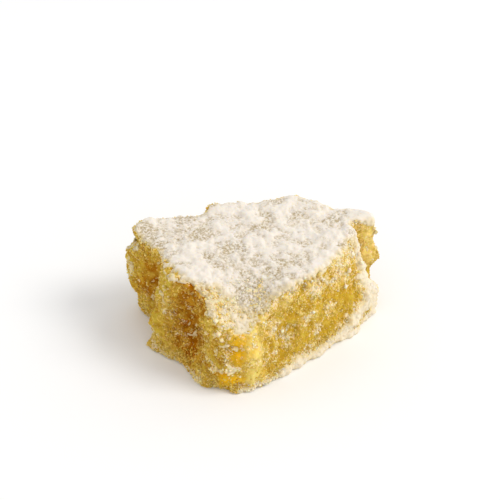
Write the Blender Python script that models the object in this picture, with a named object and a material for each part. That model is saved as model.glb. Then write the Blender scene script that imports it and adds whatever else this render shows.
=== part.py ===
"""A soft almond paste cookie: a thick, roughly diamond-shaped piece of baked almond dough, 53 mm long.

The cookie is one solid. Its wall rises from the foot, which lies flat on the table, to the rim of the
top face, and both outlines pass through the same stations, so that each station says how far the wall
leans. The hands that shaped the dough left it uneven: the point is pressed down, the short side is
scooped, the heel is parted from the left cheek by a crease, and small knobs stand out where it tore.

Lengths are metres. +X runs along the cookie, +Y from its point to its back edge and +Z up, and the
origin lies under the middle of the cookie, on the surface that it rests on.
"""

import math

import bmesh
import bpy
from mathutils import Vector, geometry, noise

MM = 0.001

TOP_HEIGHT = 21.0 * MM
TOP_SLOPE = 0.05  # the top climbs this much for each metre towards the back
POINT_DROP = 6.0 * MM  # how far the point of the diamond is pressed down
POINT_REACH = 13.0 * MM
POINT_AT = Vector((-0.8, -15.6)) * MM

FOOT_RADIUS = 1.2 * MM
RIM_RADIUS = 1.3 * MM
POINT_SPACING = 1.25 * MM
WALL_RINGS = 12
ROUNDING_RINGS = 3
OUTWARD_REACH = 3  # points on each side that set which way is outward
TOP_SPACING = 1.5 * MM

CRUMB_RELIEF = ((5.0 * MM, 0.50 * MM), (2.4 * MM, 0.30 * MM))  # wavelength and height of each layer
TOP_RELIEF_SHARE = 0.55  # the top is smoother than the torn sides
LEAST_CLEARANCE = 0.12 * MM  # how far all but the foot itself stays above the table

# Each station of the outline, counter-clockwise from above, in millimetres: where the rim and the foot
# pass, and how far the wall between them bellies out, or in where it is scooped.
STATIONS = (
    ("left corner", (-23.2, 8.2), (-23.9, 9.0), 1.4),
    ("left cheek", (-21.4, 3.4), (-21.9, 4.4), 1.0),
    ("crease", (-18.2, -0.4), (-19.6, 0.3), -0.9),
    ("heel", (-17.3, -5.0), (-21.4, -3.7), 0.3),
    ("heel front", (-14.6, -8.0), (-18.2, -6.6), 0.2),
    ("scoop", (-11.6, -9.3), (-14.4, -9.8), -1.7),
    ("scoop end", (-9.8, -11.4), (-11.2, -13.8), -0.6),
    ("point shoulder", (-7.6, -15.2), (-8.2, -16.2), 0.0),
    ("point left", (-4.0, -16.3), (-4.6, -17.5), 0.4),
    ("point", (-0.1, -15.7), (0.3, -17.2), 0.4),
    ("point right", (2.0, -12.9), (3.4, -14.7), 0.2),
    ("long side low", (5.6, -10.1), (7.3, -12.0), 0.0),
    ("long side middle", (10.0, -7.4), (12.0, -8.5), 0.2),
    ("long side high", (14.8, -3.2), (16.8, -4.1), 0.3),
    ("long side end", (18.2, 1.0), (21.4, -0.5), 0.0),
    ("right corner", (19.8, 6.6), (25.9, 6.1), 0.6),
    ("notch", (20.3, 9.6), (24.9, 9.2), -0.7),
    ("back knobs", (24.2, 11.3), (25.2, 11.8), 0.9),
    ("back right", (21.6, 14.6), (21.6, 15.4), 1.0),
    ("back slope", (14.2, 16.4), (14.2, 17.3), 1.0),
    ("back peak", (8.2, 18.8), (8.2, 18.8), 1.2),
    ("back middle", (0.5, 17.0), (0.6, 17.8), 0.8),
    ("back nib", (-7.8, 15.6), (-8.0, 16.6), 1.0),
    ("back notch", (-11.6, 12.7), (-12.4, 14.0), 0.9),
    ("left back", (-18.5, 11.8), (-19.0, 12.8), 1.0),
)

# Knobs stand out of the surface and hollows, with a negative height, go in. All in millimetres: the
# centre, the reach round it, and the height.
FEATURES = (
    ("nib at the left corner", (-23.6, 7.2, 20.6), 2.4, 0.9),
    ("swelling behind the nib", (-22.0, 9.8, 20.8), 3.2, 0.7),
    ("bite under the nib", (-23.8, 6.7, 18.2), 2.0, -1.6),
    ("left cheek's shoulder", (-24.8, 8.2, 15.4), 3.2, 0.9),
    ("left cheek", (-25.0, 7.0, 10.6), 6.0, 0.85),
    ("left cheek's foot", (-24.4, 7.6, 2.6), 3.6, -0.7),
    ("crease", (-19.4, -0.6, 12.0), 4.5, -0.7),
    ("heel ridge", (-17.6, -5.4, 14.0), 3.6, 0.7),
    ("heel shoulder", (-20.6, -3.0, 6.8), 2.8, 1.1),
    ("dent over the heel tip", (-20.8, -4.2, 3.4), 2.6, -1.1),
    ("swelling of the heel's foot", (-17.9, -6.6, 0.8), 3.0, 0.35),
    ("heel tip", (-21.4, -4.2, 0.9), 2.4, 0.5),
    ("scoop", (-13.0, -9.2, 10.5), 6.8, -2.0),
    ("lip over the scoop", (-12.4, -9.6, 19.4), 3.0, 0.8),
    ("ridge beside the scoop", (-10.0, -12.6, 14.6), 2.8, 0.8),
    ("knob under the point", (-5.2, -17.2, 4.2), 3.8, 0.8),
    ("dent under the rim of the point", (-4.2, -16.4, 10.5), 2.8, -0.6),
    ("ridge down the point", (0.6, -15.8, 9.5), 3.4, 0.6),
    ("crumb at the foot", (-9.6, -15.8, 1.0), 1.7, 1.0),
    ("dimple of the long side", (6.0, -11.6, 9.5), 4.5, -0.6),
    ("dent beside the point's foot", (1.6, -16.6, 1.0), 2.6, -0.4),
    ("swelling of the long foot", (6.2, -12.6, 1.2), 2.6, 0.4),
    ("dent in the long foot", (18.6, -2.6, 0.8), 3.0, -0.5),
    ("knob under the long rim", (11.6, -6.8, 15.5), 3.0, 0.5),
    ("dent in the right foot", (24.6, 2.8, 0.8), 3.6, -0.9),
    ("swelling of the right foot", (25.0, 5.8, 5.0), 5.0, 0.7),
    ("swelling behind the right foot", (25.2, 7.4, 6.4), 3.4, 1.4),
    ("upper back knob", (24.2, 11.2, 17.8), 3.2, 0.7),
    ("corner of the upper knob", (24.0, 11.6, 20.6), 2.6, 0.7),
    ("cleft between the knobs", (24.4, 10.8, 14.6), 2.0, -0.9),
    ("lower back knob", (25.2, 12.1, 11.0), 3.4, 1.2),
    ("dent under the lower knob", (25.8, 10.8, 7.6), 2.8, -1.2),
    ("dip of the back edge on the right", (18.2, 15.0, 21.2), 4.6, -0.6),
    ("dip of the back edge in the middle", (0.8, 17.2, 21.6), 6.0, -0.35),
    ("dip of the back edge on the left", (-15.4, 11.8, 21.6), 3.6, -0.35),
    ("nib on the back edge", (-8.4, 15.4, 21.6), 2.0, 0.7),
    ("back notch", (-10.4, 12.9, 21.4), 2.8, -0.5),
)

PASTE_COLOUR = (0.80, 0.56, 0.17, 1.0)
PASTE_ROUGHNESS = 0.6


def clear_scene():
    for obj in list(bpy.data.objects):
        bpy.data.objects.remove(obj, do_unlink=True)


def smooth_step(share):
    share = min(max(share, 0.0), 1.0)
    return share * share * (3.0 - 2.0 * share)


def top_height(place):
    """Height of the top face over a place in plan: a slight slope, pressed down round the point."""
    pressed = 1.0 - smooth_step((place - POINT_AT).length / POINT_REACH)
    return TOP_HEIGHT + TOP_SLOPE * place.y - POINT_DROP * pressed


def through(before, start, end, after, share):
    """A point on the Catmull-Rom curve from start to end, which also suits plain numbers."""
    return 0.5 * (
        2.0 * start
        + (end - before) * share
        + (2.0 * before - 5.0 * start + 4.0 * end - after) * share**2
        + (3.0 * start - before - 3.0 * end + after) * share**3
    )


def outline():
    """(rim point, foot point, belly) at even spacing round the cookie."""
    stations = [
        (Vector(rim) * MM, Vector(foot) * MM, belly * MM) for _, rim, foot, belly in STATIONS
    ]
    count = len(stations)
    found = []
    for i in range(count):
        around = [stations[(i + k) % count] for k in (-1, 0, 1, 2)]
        span = (around[2][1] - around[1][1]).length
        steps = max(1, round(span / POINT_SPACING))
        for step in range(steps):
            found.append(tuple(through(*values, step / steps) for values in zip(*around)))
    return found


def outward_of(points):
    """The outward direction in plan at each point of a counter-clockwise loop."""
    count = len(points)
    reach = OUTWARD_REACH
    along = [points[(i + reach) % count] - points[i - reach] for i in range(count)]
    return [Vector((a.y, -a.x)).normalized() for a in along]


def wall_levels():
    """(share of the straight wall, part of the foot's rounding, part of the rim's rounding) upwards.

    Each part is an angle from 0, at the table or at the top, to a right angle, at the wall.
    """
    right_angle = math.pi / 2
    turns = [right_angle * k / ROUNDING_RINGS for k in range(ROUNDING_RINGS)]
    foot = [(0.0, turn, right_angle) for turn in turns]
    wall = [(k / WALL_RINGS, right_angle, right_angle) for k in range(WALL_RINGS + 1)]
    rim = [(1.0, right_angle, turn) for turn in reversed(turns)]
    return foot + wall + rim


def wall_point(rim, foot, belly, outward, level):
    share, foot_turn, rim_turn = level
    height = top_height(rim)
    straight = height - FOOT_RADIUS - RIM_RADIUS
    z = FOOT_RADIUS * (1.0 - math.cos(foot_turn)) + share * straight
    z += RIM_RADIUS * (math.cos(rim_turn) if share == 1.0 else 0.0)
    inset = FOOT_RADIUS * (1.0 - math.sin(foot_turn)) + RIM_RADIUS * (1.0 - math.sin(rim_turn))
    lean = z / height
    place = foot.lerp(rim, lean) + outward * (belly * math.sin(math.pi * lean) - inset)
    return Vector((place.x, place.y, z))


def add_ring(bm, points):
    return [bm.verts.new(point) for point in points]


def skin(bm, lower, upper):
    """Quads between two rings of as many points."""
    count = len(lower)
    for i in range(count):
        j = (i + 1) % count
        bm.faces.new((lower[i], lower[j], upper[j], upper[i]))


def clearance(place, edge):
    """Distance in plan from a place to the nearest side of a closed loop, negative outside it."""
    nearest = math.inf
    inside = False
    for i, end in enumerate(edge):
        start = edge[i - 1]
        closest, share = geometry.intersect_point_line(place, start, end)
        if not 0.0 < share < 1.0:
            closest = min(start, end, key=lambda corner: (corner - place).length)
        nearest = min(nearest, (closest.xy - place).length)
        if (start.y > place.y) != (end.y > place.y):
            crossing = start.x + (place.y - start.y) / (end.y - start.y) * (end.x - start.x)
            inside ^= crossing > place.x
    return nearest if inside else -nearest


def lattice_inside(edge):
    """Places on a triangular lattice that lie well inside a closed loop."""
    row_gap = TOP_SPACING * math.sqrt(3.0) / 2.0
    low = Vector((min(p.x for p in edge), min(p.y for p in edge)))
    high = Vector((max(p.x for p in edge), max(p.y for p in edge)))
    found = []
    for row in range(int((high.y - low.y) / row_gap) + 1):
        shift = 0.5 * (row % 2)
        for column in range(int((high.x - low.x) / TOP_SPACING) + 1):
            place = low + Vector(((column + shift) * TOP_SPACING, row * row_gap))
            if clearance(place, edge) > 0.6 * TOP_SPACING:
                found.append(place)
    return found


def close_top(bm, ring):
    """Fills the top face inside its ring with near-even triangles, whatever the outline's notches."""
    edge = [vert.co.xy for vert in ring]
    inner = lattice_inside(edge)
    sides = [(i, (i + 1) % len(edge)) for i in range(len(edge))]
    filled = geometry.delaunay_2d_cdt(edge + inner, sides, [], 1, 1e-9)
    verts = ring + add_ring(bm, [(*place, top_height(place)) for place in inner])
    for face in filled[2]:
        bm.faces.new([verts[filled[3][corner][0]] for corner in face])


def loft_body(bm):
    """The smooth block: the foot, the wall with its rounded edges, and the top."""
    points = outline()
    outwards = outward_of([(rim + foot) / 2 for rim, foot, _ in points])
    rings = []
    for level in wall_levels():
        places = [wall_point(*point, out, level) for point, out in zip(points, outwards)]
        rings.append(add_ring(bm, places))
    for lower, upper in zip(rings, rings[1:]):
        skin(bm, lower, upper)
    bm.faces.new(list(reversed(rings[0])))
    close_top(bm, rings[-1])


def feature_height(place):
    """How far the knobs and hollows lift the surface at a place."""
    lift = 0.0
    for _, centre, reach, height in FEATURES:
        share = (place - Vector(centre) * MM).length / (reach * MM)
        if share < 1.0:
            lift += height * MM * (1.0 - share**2) ** 2
    return lift


def crumb_height(place):
    return sum(high * noise.noise(place / wide) for wide, high in CRUMB_RELIEF)


def roughen(bm):
    """Moves each point along its normal by the knobs, the hollows and the crumb, and keeps the foot flat."""
    bm.normal_update()
    moves = []
    for vert in bm.verts:
        facing_up = smooth_step(vert.normal.z)
        crumb = crumb_height(vert.co) * (1.0 - (1.0 - TOP_RELIEF_SHARE) * facing_up)
        moves.append(vert.normal * (feature_height(vert.co) + crumb))
    for vert, move in zip(bm.verts, moves):
        on_table = vert.co.z < LEAST_CLEARANCE / 2
        vert.co += move
        vert.co.z = 0.0 if on_table else max(vert.co.z, LEAST_CLEARANCE)


def centre_on_foot(bm):
    """Moves the cookie so that its box is centred on the origin in plan."""
    for axis in range(2):
        values = [vert.co[axis] for vert in bm.verts]
        middle = (min(values) + max(values)) / 2
        for vert in bm.verts:
            vert.co[axis] -= middle


def paste_material():
    material = bpy.data.materials.new("almond_paste")
    material.use_nodes = True
    shader = material.node_tree.nodes["Principled BSDF"]
    shader.inputs["Base Color"].default_value = PASTE_COLOUR
    shader.inputs["Roughness"].default_value = PASTE_ROUGHNESS
    shader.inputs["Metallic"].default_value = 0.0
    return material


def build_cookie():
    mesh = bpy.data.meshes.new("almond_cookie")
    bm = bmesh.new()
    loft_body(bm)
    roughen(bm)
    centre_on_foot(bm)
    bmesh.ops.recalc_face_normals(bm, faces=bm.faces)
    bm.to_mesh(mesh)
    bm.free()
    mesh.shade_smooth()
    mesh.materials.append(paste_material())
    cookie = bpy.data.objects.new("almond_cookie", mesh)
    bpy.context.scene.collection.objects.link(cookie)
    return cookie


clear_scene()
build_cookie()
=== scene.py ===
# %% [markdown]
# # A soft almond paste cookie
#
# The cookie is one soft piece of baked almond paste: ground almonds, sugar and egg white, pressed by
# hand, torn at the sides and sifted with icing sugar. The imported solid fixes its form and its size, and
# this file dresses it: a crumbly, slightly translucent body, a coat of sugar that ends in a ragged edge,
# and the loose crumbs, almond bits and sugar grains that stick to it.

# %% Load the fixed solid
import math

import bpy
import numpy as np
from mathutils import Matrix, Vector, kdtree, noise


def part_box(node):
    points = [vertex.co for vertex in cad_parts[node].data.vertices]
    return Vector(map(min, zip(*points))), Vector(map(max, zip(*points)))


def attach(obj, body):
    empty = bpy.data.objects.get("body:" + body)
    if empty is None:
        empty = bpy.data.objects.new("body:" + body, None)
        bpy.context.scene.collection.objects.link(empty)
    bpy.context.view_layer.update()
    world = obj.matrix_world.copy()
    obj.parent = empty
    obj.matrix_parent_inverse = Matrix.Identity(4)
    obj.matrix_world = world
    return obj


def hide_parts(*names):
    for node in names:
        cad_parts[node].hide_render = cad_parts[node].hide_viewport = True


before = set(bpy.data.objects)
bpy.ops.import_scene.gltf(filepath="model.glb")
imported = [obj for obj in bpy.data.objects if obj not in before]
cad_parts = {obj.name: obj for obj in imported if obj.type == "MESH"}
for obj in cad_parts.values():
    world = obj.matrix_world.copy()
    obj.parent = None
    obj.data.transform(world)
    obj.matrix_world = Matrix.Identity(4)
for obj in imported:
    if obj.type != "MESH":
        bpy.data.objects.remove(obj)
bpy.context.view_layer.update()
NODE = "almond_cookie"
MM = 0.001
low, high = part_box(NODE)
size = high - low
print(f"the cookie is {size.x / MM:.1f} x {size.y / MM:.1f} x {size.z / MM:.1f} mm")

# %% [markdown]
# ## Camera, light and table
#
# The cookie is looked down on from its pointed side, from close by, with a longer lens, so that its top
# and both torn sides show. Pale food reads best when one broad lamp models it from one side and white
# surroundings fill the rest: the lamp stands high on the right, and the white table throws light back at
# the sides. A hard lamp would make every crumb cast a black shadow, and light from all sides would
# flatten the sugar.

# %% The camera
VIEW_ELEVATION = math.radians(38.0)
VIEW_DISTANCE = 0.235
LENS = 85.0
AIM = Vector((-0.2, -0.8, 10.5)) * MM
AIM_ACROSS = 0.007  # where the aimed-at point appears, in frame widths from the middle of the frame
AIM_DOWN = 0.086

camera_data = bpy.data.cameras.new("camera")
camera_data.lens = LENS
camera_data.sensor_width = 36.0
camera_data.clip_start = 0.01
camera = bpy.data.objects.new("camera", camera_data)
bpy.context.scene.collection.objects.link(camera)
camera.rotation_euler = (math.pi / 2 - VIEW_ELEVATION, 0.0, 0.0)
frame_width = camera_data.sensor_width / LENS
ray = Vector((AIM_ACROSS * frame_width, -AIM_DOWN * frame_width, -1.0)).normalized()
camera.location = AIM - camera.rotation_euler.to_matrix() @ ray * VIEW_DISTANCE
bpy.context.scene.camera = camera
print("camera at", tuple(round(c, 3) for c in camera.location))

# %% The lamp
TARGET = Vector((0.0, 0.0, size.z / 2))
KEY_FROM = (0.78, -0.14, 0.80)  # from the right, a little in front, and high
KEY_DISTANCE = 2.4
KEY_WIDTH = 1.0
KEY_POWER = 28.5
KEY_COLOUR = (1.0, 0.985, 0.96)


def soft_lamp(name, direction, distance, width, power, colour):
    """A square soft lamp that shines at the cookie from a direction."""
    data = bpy.data.lights.new(name, "AREA")
    data.size = width
    data.energy = power
    data.color = colour
    lamp = bpy.data.objects.new(name, data)
    bpy.context.scene.collection.objects.link(lamp)
    towards = Vector(direction).normalized()
    lamp.location = TARGET + towards * distance
    lamp.rotation_euler = towards.to_track_quat("Z", "Y").to_euler()
    return lamp


key_lamp = soft_lamp("key_lamp", KEY_FROM, KEY_DISTANCE, KEY_WIDTH, KEY_POWER, KEY_COLOUR)
print("lamp at", tuple(round(c, 2) for c in key_lamp.location))

# %% The surroundings and the colours of the picture
SURROUNDINGS = 0.76  # the brightness of the white all round

world = bpy.data.worlds.new("studio")
world.use_nodes = True
world.node_tree.nodes["Background"].inputs["Color"].default_value = (1.0, 1.0, 1.0, 1.0)
world.node_tree.nodes["Background"].inputs["Strength"].default_value = SURROUNDINGS
bpy.context.scene.world = world
bpy.context.scene.view_settings.view_transform = "Standard"
print("the surroundings shine at", SURROUNDINGS)

# %% The table
TABLE_WIDTH = 4.0

bpy.ops.object.select_all(action="DESELECT")
bpy.ops.mesh.primitive_plane_add(size=TABLE_WIDTH, location=(0.0, 0.0, 0.0))
table = bpy.context.active_object
table.name = "table"
table_paint = bpy.data.materials.new("table_paint")
table_paint.use_nodes = True
table_shader = table_paint.node_tree.nodes["Principled BSDF"]
table_shader.inputs["Base Color"].default_value = (0.95, 0.95, 0.95, 1.0)
table_shader.inputs["Roughness"].default_value = 0.9
table.data.materials.append(table_paint)
print("the table is", TABLE_WIDTH, "m across")

# %% [markdown]
# ## Tools for the cookie's pieces
#
# Every piece starts from a mesh that is picked alone and changed by operators and applied modifiers. The
# uneven forms of food can't be drawn by hand point by point, so they come from smooth noise: a number
# that wanders gently from place to place and is the same on each run. The helpers below read a mesh's
# points as one array, move them, and store a value at each point for the materials to read.

# %% Picking, copying and applying
def pick_only(obj):
    """Makes one object the only selected one, so that an operator acts on it alone."""
    bpy.ops.object.select_all(action="DESELECT")
    obj.select_set(True)
    bpy.context.view_layer.objects.active = obj


def copy_piece(source, name):
    """A new object with its own copy of the source's mesh."""
    piece = bpy.data.objects.new(name, source.data.copy())
    piece.data.name = name
    piece.data.materials.clear()
    bpy.context.scene.collection.objects.link(piece)
    return piece


def apply_modifier(obj, kind, **settings):
    pick_only(obj)
    modifier = obj.modifiers.new(kind.title(), kind)
    for name, value in settings.items():
        setattr(modifier, name, value)
    bpy.ops.object.modifier_apply(modifier=modifier.name)


def points_of(obj):
    flat = np.empty(len(obj.data.vertices) * 3, np.float32)
    obj.data.vertices.foreach_get("co", flat)
    return flat.reshape(-1, 3).astype(float)


def normals_of(obj):
    flat = np.empty(len(obj.data.vertices) * 3, np.float32)
    obj.data.vertex_normals.foreach_get("vector", flat)
    return flat.reshape(-1, 3).astype(float)


def put_points(obj, points):
    obj.data.vertices.foreach_set("co", points.astype(np.float32).ravel())
    obj.data.update()


def keep_values(obj, name, values):
    """Stores one number at each point, for a material's Attribute node."""
    attribute = obj.data.attributes.new(name, "FLOAT", "POINT")
    attribute.data.foreach_set("value", np.asarray(values, np.float32))


# %% Noise and cells
NOISE_GAIN = 1.6  # the noise alone stays well inside -1 to 1
NOISE_STEP = 31.7  # how far apart in the noise the patterns of two seeds are taken
CELL_STEP = 17.3
SHADE_STEP = 7.31  # spreads the middles of neighbouring cells, so that their shades differ


def noise_at(points, wide, seed):
    """Smooth noise from about -1 to 1 whose lumps are about this wide, or have three widths."""
    shifted = points / np.asarray(wide) + NOISE_STEP * seed
    return np.array([noise.noise(spot) for spot in shifted.tolist()]) * NOISE_GAIN


def noise_layers(points, layers, unit=1.0):
    """Noise laid over noise: the layers hold widths in millimetres, strengths in the unit, and seeds."""
    return sum(strong * unit * noise_at(points, wide * MM, seed) for wide, strong, seed in layers)


def cell_domes(points, wide, seed):
    """Round domes packed side by side, from 1 in the middle to 0 at the rim, and each one's shade."""
    domes = np.empty(len(points))
    shades = np.empty(len(points))
    for i, spot in enumerate((points / wide + CELL_STEP * seed).tolist()):
        gaps, middles = noise.voronoi(spot)
        domes[i] = 1.0 - min(gaps[0] / max(gaps[1], 1e-6), 1.0) ** 2
        shades[i] = noise.cell(middles[0] * SHADE_STEP)
    return domes, shades * 0.5 + 0.5


# %% Ramps, places and lines
def ramp(values, start, end):
    """0 before start and 1 after end, with a smooth change between them."""
    share = np.clip((values - start) / (end - start), 0.0, 1.0)
    return share * share * (3.0 - 2.0 * share)


def place(along, back, up):
    """The point at these shares of the cookie's length, depth and height."""
    return np.array([low.x + along * size.x, low.y + back * size.y, low.z + up * size.z])


def near_line(points, stops, reach):
    """1 on a line through the stops, or at a single place, falling to 0 at the reach."""
    nearest = np.full(len(points), np.inf)
    stops = [place(*stop) for stop in np.atleast_2d(stops)]
    for start, end in zip(stops, stops[1:] or stops):
        along = end - start
        share = np.clip((points - start) @ along / max(along @ along, 1e-12), 0.0, 1.0)
        gap = np.linalg.norm(points - start - share[:, None] * along, axis=1)
        nearest = np.minimum(nearest, gap)
    return 1.0 - ramp(nearest, 0.0, reach)


# %% [markdown]
# ## The paste body
#
# Baked almond paste tears into crumbs: soft lumps of a few millimetres carry smaller ones, down to
# single grits of ground almond of half a millimetre. The solid is copied, its loose triangles are merged,
# and a voxel remesh turns it into an even net fine enough to hold the grits. Remeshing beats subdividing
# here, because it gives equal faces everywhere, whatever the solid's triangles were. The net is then
# pushed in and out by noise at three scales, the coarse crumbs by round cells, as crumbs are rounder
# than plain noise. The foot stays flat.

# %% An even net over the solid
NET_SPACING = 0.24 * MM
SMOOTHING = 12  # rounds that take out the remesh's steps
SKIN_ALLOWANCE = 0.42 * MM  # room that the crumbs and the sugar take outside the net
ALLOWANCE_FROM = 1.5 * MM  # the height from which the full allowance holds
FOOT_SHARE = 0.15  # the share of the foot's faces that is kept

net = copy_piece(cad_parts[NODE], "net")
pick_only(net)
bpy.ops.object.mode_set(mode="EDIT")
bpy.ops.mesh.select_all(action="SELECT")
bpy.ops.mesh.remove_doubles(threshold=1e-6)
bpy.ops.object.mode_set(mode="OBJECT")
apply_modifier(net, "REMESH", mode="VOXEL", voxel_size=NET_SPACING, use_smooth_shade=True)
apply_modifier(net, "SMOOTH", factor=0.5, iterations=SMOOTHING)
print("the even net has", len(net.data.polygons), "faces")

# %% A coarser foot
# The flat foot needs no fine net, and a coarser one leaves more faces for the crumbs.
pick_only(net)
bpy.ops.object.mode_set(mode="EDIT")
bpy.ops.mesh.select_all(action="DESELECT")
bpy.ops.object.mode_set(mode="OBJECT")
for face in net.data.polygons:
    face.select = face.normal.z < -0.99 and face.center.z < 0.1 * MM
bpy.ops.object.mode_set(mode="EDIT")
bpy.ops.mesh.decimate(ratio=FOOT_SHARE)
bpy.ops.object.mode_set(mode="OBJECT")
print("with a coarser foot it has", len(net.data.polygons))

# %% Room for the crumbs and the sugar
net_points = points_of(net)
net_normals = normals_of(net)
on_foot = (net_points[:, 2] < 0.12 * MM) & (net_normals[:, 2] < -0.9)
inset = SKIN_ALLOWANCE * ramp(net_points[:, 2], 0.0, ALLOWANCE_FROM)
net_points -= net_normals * inset[:, None]
net_points[on_foot, 2] = 0.0
put_points(net, net_points)
net_normals = normals_of(net)
print(f"the net lies up to {inset.max() / MM:.2f} mm inside the solid")

# %% [markdown]
# ## Where the sugar lies
#
# Sugar sifted from above stays where the surface faces up, slides off the walls and gathers along the
# foot, where the cookie was rolled in what had fallen. Handling wears it off the top's edges, and moist
# paste soaks into it from below. Its edge is ragged, because each crumb holds or sheds it. One cover
# field says it all, so that the paste, the coat and the loose bits agree: 0 is bare and 1 is a full coat.
# Facing and noise give the field its rule, and short tables of lines and places, as shares of the
# cookie's length, depth and height, say where this one cookie departs from the rule.

# %% Lines along which sugar has gathered
EDGES_WITH_SUGAR = (
    # the line, its reach in millimetres, and how much sugar it holds: 1 is a full coat
    (((0.85, 0.62, 0.96), (0.875, 0.67, 0.94), (0.90, 0.64, 0.84)), 3.0, 1.3),
    (((0.90, 0.62, 0.84), (0.92, 0.60, 0.69), (0.935, 0.58, 0.55)), 2.8, 1.15),
    (((0.935, 0.58, 0.55), (0.95, 0.60, 0.42), (0.965, 0.58, 0.30)), 4.0, 1.1),
    (((0.965, 0.60, 0.30), (0.95, 0.53, 0.20), (0.90, 0.47, 0.16)), 4.0, 1.1),
    (((0.995, 0.70, 0.28), (0.98, 0.66, 0.05), (0.94, 0.55, 0.03)), 2.6, 1.1),
    (((0.90, 0.47, 0.14), (0.84, 0.40, 0.10)), 2.6, 1.1),
    (((0.985, 0.64, 0.20), (0.97, 0.56, 0.06), (0.92, 0.49, 0.03), (0.85, 0.41, 0.03)), 2.6, 1.1),
    (((0.84, 0.40, 0.08), (0.76, 0.30, 0.05), (0.69, 0.23, 0.05), (0.61, 0.15, 0.05)), 2.2, 1.05),
    (((0.61, 0.15, 0.05), (0.53, 0.06, 0.04), (0.45, 0.02, 0.03)), 1.0, 0.8),
    (((0.323, 0.096, 0.303), (0.338, 0.071, 0.297), (0.352, 0.050, 0.275)), 0.9, 0.7),
    (((0.379, 0.036, 0.413), (0.393, 0.023, 0.364), (0.408, 0.015, 0.310)), 0.9, 0.7),
    (
        ((0.345, 0.055, 0.235), (0.36, 0.036, 0.262), (0.382, 0.018, 0.255), (0.429, 0.015, 0.284)),
        1.1, 0.85,
    ),
    (((0.10, 0.34, 0.05), (0.18, 0.26, 0.03), (0.26, 0.154, 0.04), (0.30, 0.09, 0.04)), 1.7, 0.6),
    (((0.01, 0.64, 0.62), (0.02, 0.61, 0.52)), 2.0, 0.66),
    (((0.90, 0.78, 1.00), (0.95, 0.76, 0.96), (0.98, 0.78, 0.93)), 3.4, 1.05),
    (((0.99, 0.79, 0.66), (0.985, 0.79, 0.58)), 1.4, 0.9),
    (((0.10, 0.80, 0.03), (0.30, 0.88, 0.03), (0.50, 0.96, 0.03)), 1.7, 0.7),
    (((0.62, 0.97, 0.04), (0.80, 0.88, 0.04), (0.95, 0.80, 0.05)), 2.2, 0.75),
    (((0.45, 0.96, 0.62), (0.48, 0.97, 0.50)), 1.8, 0.8),
    (((0.74, 0.92, 0.80), (0.77, 0.92, 0.62), (0.79, 0.91, 0.50)), 2.0, 0.9),
    (((0.345, 0.164, 0.88), (0.36, 0.10, 0.80)), 2.4, 0.85),
)

# %% Where the coat is thin or soaked
THIN_PLACES = (
    # where the coat is thin and stained by the paste: the place, its reach and how thin
    ((0.32, 0.19, 0.90), 3.8, 0.7),
    ((0.36, 0.13, 0.86), 3.6, 0.75),
    ((0.47, 0.27, 0.86), 4.4, 0.55),
    ((0.52, 0.23, 0.80), 3.4, 0.6),
    ((0.13, 0.54, 0.97), 3.2, 0.45),
    ((0.26, 0.25, 0.93), 3.2, 0.45),
    ((0.08, 0.65, 0.97), 3.2, 0.40),
    ((0.19, 0.46, 0.97), 3.2, 0.45),
    ((0.39, 0.55, 0.97), 4.2, 0.40),
    ((0.36, 0.40, 0.97), 4.0, 0.42),
    ((0.49, 0.25, 0.95), 3.4, 0.30),
    ((0.67, 0.43, 0.96), 3.4, 0.36),
    ((0.59, 0.40, 0.96), 3.4, 0.36),
    ((0.22, 0.64, 0.97), 3.4, 0.36),
    ((0.29, 0.61, 0.97), 3.4, 0.36),
    ((0.26, 0.74, 0.97), 3.2, 0.36),
    ((0.55, 0.77, 0.97), 3.4, 0.34),
    ((0.44, 0.52, 0.97), 3.2, 0.36),
    ((0.56, 0.89, 0.97), 3.0, 0.34),
    ((0.80, 0.75, 0.97), 3.4, 0.30),
    ((0.34, 0.86, 0.97), 1.8, 0.60),
)
SOAKED_PLACES = (
    # where the paste's colour shows through the coat
    ((0.34, 0.14, 0.84), 4.4, 0.75),
    ((0.40, 0.12, 0.73), 3.2, 0.5),
    ((0.52, 0.20, 0.78), 3.0, 0.35),
    ((0.03, 0.72, 0.95), 2.4, 0.7),
    ((0.20, 0.36, 0.94), 2.6, 0.6),
    ((0.95, 0.76, 0.90), 3.2, 0.42),
)

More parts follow.
